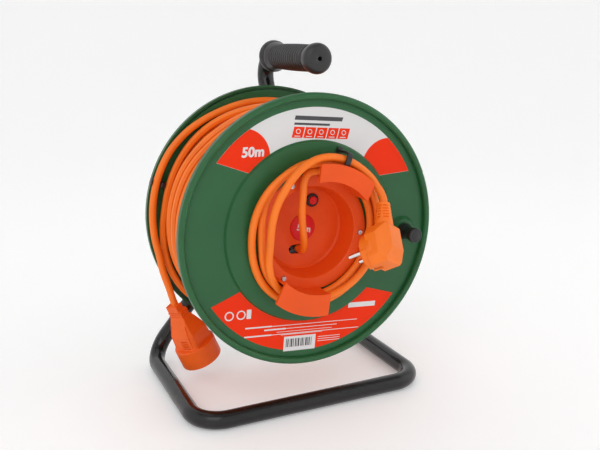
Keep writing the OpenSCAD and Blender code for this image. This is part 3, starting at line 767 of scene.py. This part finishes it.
class REEL_OT_socket(bpy.types.Operator):
    """Moulds the trailing socket with its collar, ribs, panels and ring"""

    bl_idname = "reel.socket"
    bl_label = "Trailing socket"

    def execute(self, context):
        foot = RING_S + 2
        side = [(-10.4, 17.5), (10.4, 17.5), (17, 38), (17.5, foot), (-17.5, foot), (-17, 38)]
        edge = [(-6.4, 17.5), (7, 17.5), (15.4, 38), (17.5, foot), (-17.5, foot), (-15, 38)]
        body = two_views("socket_moulding", side, edge, -BLOCK / 2, PANEL_FRAME)
        cone = [(0, 10), (12.4, 17), (20.6, 38), (22.1, foot + 1), (0, foot + 1)]
        combine(body, turned("bound", cone, NECK_FRAME, 96), "INTERSECT")
        combine(body, box("collar", (-8.2, -2.6, 2), (8.2, 7.6, 9.2), PANEL_FRAME), "UNION")
        points = [
            (-8.2, 3), (-8.2, 1.2), (-6.6, 0.6), (-4.8, 2.4),
            (4.8, 2.4), (6.6, 0.6), (8.2, 1.2), (8.2, 3),
        ]
        crown = plate("crown", points, 10.2, PANEL_FRAME @ shift(0, 7.6, 0) @ turn(90, "X"))
        combine(body, crown, "UNION")
        combine(body, box("neck", (-9.4, -4.8, 8), (9.4, 6.1, 19), PANEL_FRAME), "UNION")
        for i in range(3):
            rib = box("rib", (-10.3, -5.4, 10.2 + 3 * i), (10.3, 7.1, 11.9 + 3 * i), PANEL_FRAME)
            combine(body, rib, "UNION")
        ring = turned(
            "ring",
            [(0, RING_S), (RING_R - 1.6, RING_S)] + arc(RING_R - 1.2, RING_S + 1.2, 1.2, -90, 0, 4)
            + arc(RING_R - 0.8, MOUTH_S - 0.8, 0.8, 0, 90, 4) + [(0, MOUTH_S)],
            NECK_FRAME, 120,
        )
        combine(body, ring, "UNION")
        hollow = [(0, 56.5), (17, 56.5), (17, 61.5), (19.8, 61.5), (19.8, 80), (0, 80)]
        combine(body, turned("recess", hollow, NECK_FRAME, 96), "DIFFERENCE")
        for x0, s0, x1, s1 in PANEL_GROOVES:
            run = math.hypot(x1 - x0, s1 - s0)
            lean = math.degrees(math.atan2(x1 - x0, s1 - s0))
            height = panel_height(s0)
            rise = math.degrees(math.atan2(panel_height(s1) - height, s1 - s0))
            place = PANEL_FRAME @ shift(x0, height, s0) @ turn(lean, "Y") @ turn(-rise, "X")
            combine(body, box("groove", (-1.0, -1.7, 0), (1.0, 3.0, run), place), "DIFFERENCE")
        for i in range(5):
            line = box("line", (-1.5, 14.2, 43.6 + 2.3 * i), (11, 20, 44.6 + 2.3 * i), PANEL_FRAME)
            combine(body, line, "DIFFERENCE")
        moulded(body)
        put(body, "socket_plastic", "stand", ("connector_body",), angle=70)
        return {"FINISHED"}


# ---------------------------------------------------------------- knob and clips


KNOB_PLACE = on_drum(-4.7, 111, 0.7)
KNOB_FRAME = Matrix.Translation(spot(*KNOB_PLACE)) @ turn(90, "X")


class REEL_OT_knob(bpy.types.Operator):
    """Turns the winding knob, waisted and ringed at its end"""

    bl_idname = "reel.knob"
    bl_label = "Winding knob"

    def execute(self, context):
        outline = [(4.05, 0), (8.4, 0)] + arc(8.2, 0.75, 0.75, -70, 0, 4)
        outline += [(8.95, 2.2), (8.7, 3.4), (8.1, 5), (7.5, 7.2), (7.15, 9.2), (7.0, 11.5)]
        outline += [(7.05, 13.5), (7.35, 16), (7.8, 18.6), (8.05, 20.4)]
        outline += arc(6.55, 23, 1.5, 0, 80, 6)
        outline += [(6.3, 24.5), (5.7, 24.2), (5.2, 24.2), (4.7, 24.6), (0, 24.8)]
        outline += [(0, 19.4), (4.05, 19.4)]
        knob = turned("winding_knob", outline, KNOB_FRAME, 96)
        put(knob, "black_plastic", "knob_body", ("knob",), angle=40)
        return {"FINISHED"}


CLIP_WIDTH = 6.0
HOOK_PEG_R = 134.0
REAR_IN_W = 126.0


def clip_frame(angle):
    """Frame for a clip's outline of (radius, station) at an angle round the axle."""
    return Matrix.Translation(spot(0, 0, 0)) @ turn(-angle, "Y") @ shift(0, 0, -CLIP_WIDTH / 2)


class REEL_OT_clips(bpy.types.Operator):
    """Forms the strap over the lead and the fork that holds the tail"""

    bl_idname = "reel.clips"
    bl_label = "Cord clips"

    def execute(self, context):
        strap = [(87.1, 3), (87.1, 1), (88.6, 1), (88.6, -19.4)]
        strap += arc(86.2, -19.4, 2.4, 0, -90, 6)[1:]
        strap += [(79.6, -21.8), (78.8, -21.1), (78.3, -21), (77.5, -21.2)]
        strap += [(77.4, -23.4), (78.2, -24.2)]
        strap += arc(86.4, -19.4, 4.8, -90, 0, 8) + [(91.2, 1), (93.7, 1), (93.7, 3)]
        clip = plate("lead_clip", strap, CLIP_WIDTH, clip_frame(CLIP_ANGLE))
        soften(clip, 0.5, 3)
        put(clip, "black_plastic", "drum", ("front_clip",), angle=40)
        fork = [(131, REAR_IN_W), (131, 115.7), (132.2, 114.5), (135.6, 114.5), (136.5, 115.4)]
        fork += [(136.5, 122), (138.5, 124), (143.5, 124), (145.5, 122), (145.5, 117.7)]
        fork += [(146.2, 117), (147, 117.8), (147, REAR_IN_W)]
        jaws = plate("tail_clip", fork, CLIP_WIDTH, clip_frame(HOOK_ANGLE))
        soften(jaws, 0.4, 2)
        post = [(0, REAR_IN_W - 1), (2, REAR_IN_W - 1), (2, 129), (2.8, 129)]
        post += [(2.4, 130.4), (1.4, 131.5), (0, 131.5)]
        peg_frame = Matrix.Translation(spot(*on_drum(HOOK_ANGLE, HOOK_PEG_R, 0))) @ turn(-90, "X")
        combine(jaws, turned("peg", post, peg_frame, 32), "UNION")
        put(jaws, "black_plastic", "drum", ("rear_clip",), angle=40)
        return {"FINISHED"}


# ---------------------------------------------------------------- stand


AXLE_UP = 195.0
BASE_X = 133.0
BAR_FRONT_W = -7.5
BAR_REAR_W = 187.0
FRONT_BEND = 32.0
REAR_BEND = 28.0
HUB_W = 149.7
GRIP_X = 12.0
GRIP_Z = 177.5
KNEE_Z = 132.0
KNEE_BEND = 36.0
TOP_W = 170.0
HANDLE_END_W = 24.0
TOP_BEND = 22.0


BEND_STEP = 3.0


def bent_line(points, bends):
    """Points of a line whose corners are rounded with the given radii."""
    line = [Vector(points[0])]
    for a, b, c, radius in zip(points, points[1:], points[2:], bends):
        a, b, c = Vector(a), Vector(b), Vector(c)
        d = (b - a).normalized()
        e = (c - b).normalized()
        corner = d.angle(e)
        n = (e - d * e.dot(d)).normalized()
        centre = b - d * radius * math.tan(corner / 2) + n * radius
        count = max(2, math.ceil(math.degrees(corner) / BEND_STEP))
        for k in range(count + 1):
            t = corner * k / count
            line.append(centre + radius * (math.sin(t) * d - math.cos(t) * n))
    line.append(Vector(points[-1]))
    return [spot(*p) for p in line]


class REEL_OT_stand(bpy.types.Operator):
    """Bends the tubes of the stand"""

    bl_idname = "reel.stand"
    bl_label = "Stand tubes"

    def execute(self, context):
        radius = context.scene.reel_sizes.tube_diameter / 2
        floor = radius / MM - AXLE_UP
        base = [
            (0, HUB_W, 0), (-BASE_X, BAR_REAR_W, floor), (-BASE_X, BAR_FRONT_W, floor),
            (BASE_X, BAR_FRONT_W, floor), (BASE_X, BAR_REAR_W, floor), (0, HUB_W, 0),
        ]
        line = bent_line(base, [REAR_BEND, FRONT_BEND, FRONT_BEND, REAR_BEND])
        base_piece = tube_along("base_frame", line, radius, 40)
        put(base_piece, "frame_paint", "stand", ("base_tube",))
        handle = [
            (0, HUB_W, 0), (GRIP_X, HUB_W - 2.5, KNEE_Z),
            (GRIP_X, TOP_W, GRIP_Z), (GRIP_X, HANDLE_END_W, GRIP_Z),
        ]
        line = bent_line(handle, [KNEE_BEND, TOP_BEND])
        handle_piece = tube_along("handle_frame", line, radius, 40)
        put(handle_piece, "frame_paint", "stand", ("handle_tube",))
        return {"FINISHED"}


GRIP_W0 = 12.5
GRIP_W1 = 133.0
GRIP_RIB_W0 = 33.0
GRIP_RIB_PITCH = 5.6
GRIP_RIBS = 14


def grip_outline():
    """Half section of the grip: bulb at its closed end, ribbed and crowned waist, flared collar."""
    tube_r = 9.5
    points = [(2.4, GRIP_W0 + 9), (2.4, GRIP_W0 + 0.4), (2.9, GRIP_W0), (6.4, GRIP_W0)]
    points += arc(9.0, GRIP_W0 + 6.8, 6.8, -90, -5, 8)[1:]
    points += [(15.8, GRIP_W0 + 8.5), (15.4, GRIP_W0 + 11.5)]
    points += [(14.5, GRIP_W0 + 14.5), (13.6, GRIP_W0 + 17)]
    points += [(13.0, GRIP_RIB_W0 - 0.8)]
    for i in range(GRIP_RIBS):
        w = GRIP_RIB_W0 + i * GRIP_RIB_PITCH
        top = 13.9 + 0.5 * math.sin(math.pi * (i + 0.5) / GRIP_RIBS)
        points += [(top - 1.9, w + 0.2), (top - 1.6, w + 0.8)]
        points += arc(top - 1.9, w + GRIP_RIB_PITCH / 2, 1.9, -58, 58, 6)
        points += [(top - 1.6, w + 4.8), (top - 1.9, w + 5.4)]
    points += [(13.4, GRIP_W1 - 20.5), (14.0, GRIP_W1 - 17)]
    points += [(15.2, GRIP_W1 - 12.5), (15.9, GRIP_W1 - 9.5)]
    points += [(15.3, GRIP_W1 - 8.4), (15.9, GRIP_W1 - 7.2), (17.6, GRIP_W1 - 5)]
    points += arc(16.4, GRIP_W1 - 1.5, 1.5, 10, 90, 4)
    points += [(tube_r, GRIP_W1 - 0.4), (tube_r, GRIP_W0 + 9)]
    return points


class REEL_OT_grip(bpy.types.Operator):
    """Turns the rubber grip on the handle"""

    bl_idname = "reel.grip"
    bl_label = "Grip"

    def execute(self, context):
        place = Matrix.Translation((GRIP_X * MM, 0, GRIP_Z * MM)) @ DRUM_FRAME
        grip = turned("handle_grip", grip_outline(), place, 96)
        put(grip, "grip_rubber", "stand", ("grip",), angle=50)
        return {"FINISHED"}


# ---------------------------------------------------------------- labels


LABEL_W = 6.0
LABEL_FILM = 0.12
LABEL_TURN = -4.6
LABEL_OUTER_R = 130.5
LABEL_INNER_R = 96.0
CAP_W = 27.9
# Thickening of the letters' strokes, as a share of their size.
STROKE_WEIGHT = 0.035
LABEL_FRAME = Matrix.Translation((0, FRONT_Y, AXLE_Z)) @ Matrix.Rotation(math.radians(90), 4, "X")


def label_piece(name, outline, material_name, layer=1):
    """A flat film on the flange's face, facing forward. Each layer lies on the one before."""
    front = -LABEL_W + LABEL_FILM * (layer - 1)
    piece = plate(name, outline, LABEL_FILM, LABEL_FRAME @ shift(0, 0, front))
    return put(piece, material_name, "drum")


def sector(inner_start, inner_end, outer_start, outer_end):
    """Outline of a label between two arcs round the axle, each with its own start and end."""
    outer = arc(0, 0, LABEL_OUTER_R, outer_start, outer_end, 40)
    inner = arc(0, 0, LABEL_INNER_R, inner_end, inner_start, 40)
    return outer + inner


def circle_through(p, q, r):
    """Centre and radius of the circle through three flat points."""
    (ax, ay), (bx, by), (cx, cy) = p, q, r
    d = 2 * (ax * (by - cy) + bx * (cy - ay) + cx * (ay - by))
    aa, bb, cc = ax**2 + ay**2, bx**2 + by**2, cx**2 + cy**2
    ux = (aa * (by - cy) + bb * (cy - ay) + cc * (ay - by)) / d
    uy = (aa * (cx - bx) + bb * (ax - cx) + cc * (bx - ax)) / d
    return ux, uy, math.hypot(ax - ux, ay - uy)


def bulged(p, q, r):
    """Points of the arc from p through q to r."""
    x, y, radius = circle_through(p, q, r)
    start, middle, end = (math.degrees(math.atan2(v - y, u - x)) for u, v in (p, q, r))
    while middle - start > 180:
        middle -= 360
    while middle - start < -180:
        middle += 360
    while end - middle > 180:
        end -= 360
    while end - middle < -180:
        end += 360
    return arc(x, y, radius, start, end, 16)


def polar(radius, angle):
    return (radius * math.cos(math.radians(angle)), radius * math.sin(math.radians(angle)))


def mark(name, outline, material_name, x, y, layer=2):
    """A printed shape on a label: its outline, in millimetres, laid at x and y and tilted."""
    tilt = math.radians(LABEL_TURN)
    c, s = math.cos(tilt), math.sin(tilt)
    laid = [(x + u * c - v * s, y + u * s + v * c) for u, v in outline]
    return label_piece(name, laid, material_name, layer)


def strip(length, height, lean=0.0):
    """Outline of a plain bar from its lower left corner, leaning to the right."""
    return [(0, 0), (length, 0), (length + lean, height), (lean, height)]


def join(name, pieces):
    """Makes one piece of several."""
    only(pieces[0])
    for piece in pieces:
        piece.select_set(True)
    bpy.ops.object.join()
    bpy.context.object.name = name
    bpy.context.object.data.name = name


def ring_mark(name, radius, width, material_name, x, y, layer=2):
    """A printed ring."""
    place = LABEL_FRAME @ shift(x, y, -LABEL_W + LABEL_FILM * (layer - 1))
    outline = [(radius - width, 0), (radius, 0), (radius, LABEL_FILM), (radius - width, LABEL_FILM)]
    return put(turned(name, outline, place, 40), material_name, "drum")


def lettering(name, words, size, x, y, layer, front_w=LABEL_W, lean=0.0, tilt=0.0):
    """Plain raised print, centred at x and y, with its strokes thickened."""
    deselect_all()
    bpy.ops.object.text_add()
    text = bpy.context.object
    text.data.body = words
    text.data.size = size * MM
    text.data.align_x = "CENTER"
    text.data.align_y = "CENTER"
    text.data.shear = lean
    text.data.offset = STROKE_WEIGHT * size * MM
    text.data.extrude = LABEL_FILM * MM / 2
    text.data.resolution_u = 4
    bpy.ops.object.convert(target="MESH")
    piece = bpy.context.object
    piece.name = name
    piece.data.name = name
    bpy.ops.object.mode_set(mode="EDIT")
    close_up(piece)
    front = -front_w + LABEL_FILM * (layer - 0.5)
    settle(piece, LABEL_FRAME @ shift(x, y, front) @ turn(tilt, "Z"))
    return put(piece, "label_white", "drum")


class REEL_OT_labels(bpy.types.Operator):
    """Sticks the printed films on the front flange, with plain generic print"""

    bl_idname = "reel.labels"
    bl_label = "Labels"

    def execute(self, context):
        words = context.scene.reel_stage.length_mark
        upper = sector(34.4, 135.4, 25.7, 142.0)
        label_piece("label_upper", upper, "label_white")
        left = bulged(polar(130.4, 121.2), polar(108.5, 117.1), polar(96.1, 118.9))
        left += arc(0, 0, 96.1, 118.9, 135.3, 8)[1:]
        left += arc(0, 0, 130.4, 141.9, 121.2, 10)
        label_piece("label_upper_red_left", left, "label_red", layer=2)
        right = bulged(polar(96.1, 50.9), polar(112.5, 51.2), polar(130.4, 46.3))
        right += arc(0, 0, 130.4, 46.3, 25.8, 10)[1:]
        right += arc(0, 0, 96.1, 34.5, 50.9, 8)[:-1]
        label_piece("label_upper_red_right", right, "label_red", layer=2)
        lower = sector(-146.2, -46.6, -149.6, -38.7)
        label_piece("label_lower", lower, "label_red")
        lettering("label_length", words, 13.6, -65.0, 88.4, layer=3, lean=0.12)
        lettering("cap_length", words, 9.4, 1.2, -1, layer=2, front_w=CAP_W, tilt=-14)
        return {"FINISHED"}


SQUARE_PITCH = 13.0


class REEL_OT_print(bpy.types.Operator):
    """Prints plain generic marks on the labels: stripes, squares, rings and bars"""

    bl_idname = "reel.print"
    bl_label = "Label print"

    def execute(self, context):
        bars = [
            mark("head_bar", strip(54, 4.2, 1.1), "print_grey", -19.6, 118.6),
            mark("head_line", strip(40, 2.2, 0.6), "print_grey", -20.1, 113.6),
        ]
        join("label_head_stripes", bars)
        tilt = math.radians(LABEL_TURN)
        squares, signs = [], []
        for i in range(5):
            x = -22.9 + SQUARE_PITCH * i * math.cos(tilt)
            y = 100.8 + SQUARE_PITCH * i * math.sin(tilt)
            squares.append(mark("square", strip(11.8, 11, 2.2), "label_red", x, y))
            ring = ring_mark("sign_ring", 2.6, 0.7, "label_white", x + 7.4, y + 5.9, layer=3)
            bar = mark("sign_bar", strip(6.5, 0.8), "label_white", x + 3.0, y + 1.0, layer=3)
            signs += [ring, bar]
        join("label_squares", squares)
        join("label_square_signs", signs)
        rings = [
            ring_mark("ring", 5.0, 1.3, "label_white", x, y)
            for x, y in ((-93.5, -78.6), (-80.6, -79.3))
        ]
        rings.append(mark("ring_bar", strip(5, 10), "label_white", -74.8, -84.4))
        join("label_rings", rings)
        stripes = [
            (-76.4, -95.6, 30, 1.5), (-46.2, -97.8, 103, 0.7), (-55.2, -101.2, 25, 1.6),
            (-30.0, -102.8, 61, 0.7), (-77.8, -105.2, 31, 1.5), (-46.5, -107.4, 105, 0.7),
            (-41.0, -105.2, 66, 0.5), (-36.0, -109.2, 49, 0.6), (7.9, -118.6, 27, 0.6),
            (7.7, -121.1, 27, 0.6), (7.4, -123.5, 27, 0.6), (44.9, -90.6, 34, 5.6),
        ]
        lines = [mark("stripe", strip(l, h), "label_white", x, y) for x, y, l, h in stripes]
        join("label_stripes", lines)
        mark("label_plate", strip(37.6, 16.6), "label_white", -33.6, -128.2)
        bars, at = [], 2.6
        for i in range(15):
            width = (0.8, 1.7, 0.6, 1.2)[i * 7 % 4]
            x = -33.6 + at * math.cos(tilt) - 5 * math.sin(tilt)
            y = -123.6 + at * math.sin(tilt)
            bars.append(mark("bar", strip(width, 9.2), "print_grey", x, y, layer=3))
            at += width + (0.9, 1.5, 0.7)[i % 3]
        join("label_plate_bars", bars)
        return {"FINISHED"}


# ---------------------------------------------------------------- construction nodes that stay


NODES_OF_FINISH = {
    "frame_paint": ["hub_block"],
    "zinc_steel": [
        "axle", "axle_washer", "axle_end_washer", "axle_end_screw", "tail_washer",
        "tail_nut", "drum_screws", "cup_screws", "knob_pin", "socket_earth",
    ],
    "green_plastic": ["front_flange", "rear_flange"],
    "orange_plastic": ["cable_cup"],
    "red_plastic": ["centre_cap", "reset_button"],
    "black_plastic": ["thermal_switch", "lead_clamp"],
    "cream_plastic": ["terminal_block"],
    "grip_rubber": ["barrel_grommet"],
    "nickel": ["plug_pins", "plug_earth"],
    "socket_plastic": ["socket_insert"],
    "brass": ["socket_contacts"],
}


class REEL_OT_finishes(bpy.types.Operator):
    """Gives the construction nodes that stay in view their finishes"""

    bl_idname = "reel.finishes"
    bl_label = "Finishes"

    def execute(self, context):
        for material_name, nodes in NODES_OF_FINISH.items():
            for node in nodes:
                paint(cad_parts[node], material_name)
        return {"FINISHED"}


# ---------------------------------------------------------------- stage


CAMERA_PLACE = spot(-334.1, -677.9, 198.5)
LENS_MM = 45.0
SENSOR_MM = 36.0
WORLD_STRENGTH = 0.42
FLOOR_GREY = 0.9
FLOOR_GLOW = 0.2
# The backdrop's section: flat to SWEEP_FLAT, then a bend of SWEEP_R, then up to SWEEP_TOP.
SWEEP_FLAT = 1400
SWEEP_R = 1600
SWEEP_TOP = 4000
SWEEP_THICK = 40
LIGHT_TARGET = (0, 0, 0.2)


def area_light(name, place, size, power):
    """A square white light that faces the reel."""
    data = bpy.data.lights.new(name, "AREA")
    data.shape = "SQUARE"
    data.size = size
    data.energy = power
    light = bpy.data.objects.new(name, data)
    bpy.context.scene.collection.objects.link(light)
    light.location = place
    way = Vector(LIGHT_TARGET) - Vector(place)
    light.rotation_euler = way.to_track_quat("-Z", "Y").to_euler()


class REEL_OT_stage(bpy.types.Operator):
    """Sets up the camera, the pale sweep and the soft lights"""

    bl_idname = "reel.stage"
    bl_label = "Stage"

    def execute(self, context):
        scene = context.scene
        stage = scene.reel_stage
        camera = bpy.data.objects.new("camera", bpy.data.cameras.new("camera"))
        scene.collection.objects.link(camera)
        camera.location = CAMERA_PLACE
        camera.rotation_euler = (math.radians(90) - stage.elevation, 0, stage.azimuth)
        camera.data.lens = LENS_MM
        camera.data.sensor_width = SENSOR_MM
        camera.data.clip_start = 0.01
        scene.camera = camera
        scene.view_settings.view_transform = "Standard"
        world = bpy.data.worlds.new("studio")
        world.use_nodes = True
        background = world.node_tree.nodes["Background"]
        background.inputs["Color"].default_value = (1, 1, 1, 1)
        background.inputs["Strength"].default_value = WORLD_STRENGTH
        scene.world = world
        deselect_all()
        wall = SWEEP_FLAT + SWEEP_R
        sweep = [(0, 0), (SWEEP_FLAT, 0)] + arc(SWEEP_FLAT, SWEEP_R, SWEEP_R, -90, 0, 24)[1:]
        sweep += [(wall, SWEEP_TOP), (wall + SWEEP_THICK, SWEEP_TOP)]
        sweep += [(wall + SWEEP_THICK, -SWEEP_THICK), (0, -SWEEP_THICK)]
        floor = turned("floor", sweep, Matrix.Identity(4), 96)
        smooth(floor, 30)
        floor_material = bpy.data.materials.new("pale_floor")
        floor_material.use_nodes = True
        shader = floor_material.node_tree.nodes["Principled BSDF"]
        shader.inputs["Base Color"].default_value = (FLOOR_GREY, FLOOR_GREY, FLOOR_GREY, 1)
        shader.inputs["Roughness"].default_value = 0.6
        shader.inputs["Emission Color"].default_value = (1, 1, 1, 1)
        shader.inputs["Emission Strength"].default_value = FLOOR_GLOW
        floor.data.materials.append(floor_material)
        area_light("key", (-1.1, -1.3, 1.7), 1.4, stage.key_power)
        area_light("fill", (1.6, -0.9, 0.9), 1.4, stage.key_power * 0.4)
        area_light("top", (0.1, 0.6, 2.0), 1.6, stage.key_power * 0.5)
        return {"FINISHED"}


class REEL_PT_sidebar(bpy.types.Panel):
    """Lists the reel's settings and steps"""

    bl_idname = "REEL_PT_sidebar"
    bl_label = "Cable reel"
    bl_space_type = "VIEW_3D"
    bl_region_type = "UI"
    bl_category = "Reel"

    def draw(self, context):
        layout = self.layout
        scene = context.scene
        for group in (scene.reel_sizes, scene.reel_colours, scene.reel_stage):
            for name in group.bl_rna.properties.keys():
                if name not in {"rna_type", "name"}:
                    layout.prop(group, name)
        for step in STEPS:
            layout.operator(step.bl_idname)


STEPS = (
    REEL_OT_stage,
    REEL_OT_winding,
    REEL_OT_plug,
    REEL_OT_socket,
    REEL_OT_lead,
    REEL_OT_tail,
    REEL_OT_knob,
    REEL_OT_clips,
    REEL_OT_stand,
    REEL_OT_grip,
    REEL_OT_labels,
    REEL_OT_print,
    REEL_OT_finishes,
)
GROUPS = (ReelSizes, ReelColours, ReelStage)


def register():
    for group in GROUPS + STEPS + (REEL_PT_sidebar,):
        bpy.utils.register_class(group)
    bpy.types.Scene.reel_sizes = PointerProperty(type=ReelSizes)
    bpy.types.Scene.reel_colours = PointerProperty(type=ReelColours)
    bpy.types.Scene.reel_stage = PointerProperty(type=ReelStage)


def unregister():
    del bpy.types.Scene.reel_stage
    del bpy.types.Scene.reel_colours
    del bpy.types.Scene.reel_sizes
    for group in reversed(GROUPS + STEPS + (REEL_PT_sidebar,)):
        bpy.utils.unregister_class(group)


def main():
    register()
    make_materials()
    bpy.ops.reel.stage()
    bpy.ops.reel.winding()
    bpy.ops.reel.plug()
    bpy.ops.reel.socket()
    bpy.ops.reel.lead()
    bpy.ops.reel.tail()
    bpy.ops.reel.knob()
    bpy.ops.reel.clips()
    bpy.ops.reel.stand()
    bpy.ops.reel.grip()
    bpy.ops.reel.labels()
    bpy.ops.reel.print()
    bpy.ops.reel.finishes()
    deselect_all()


if __name__ == "__main__":
    main()
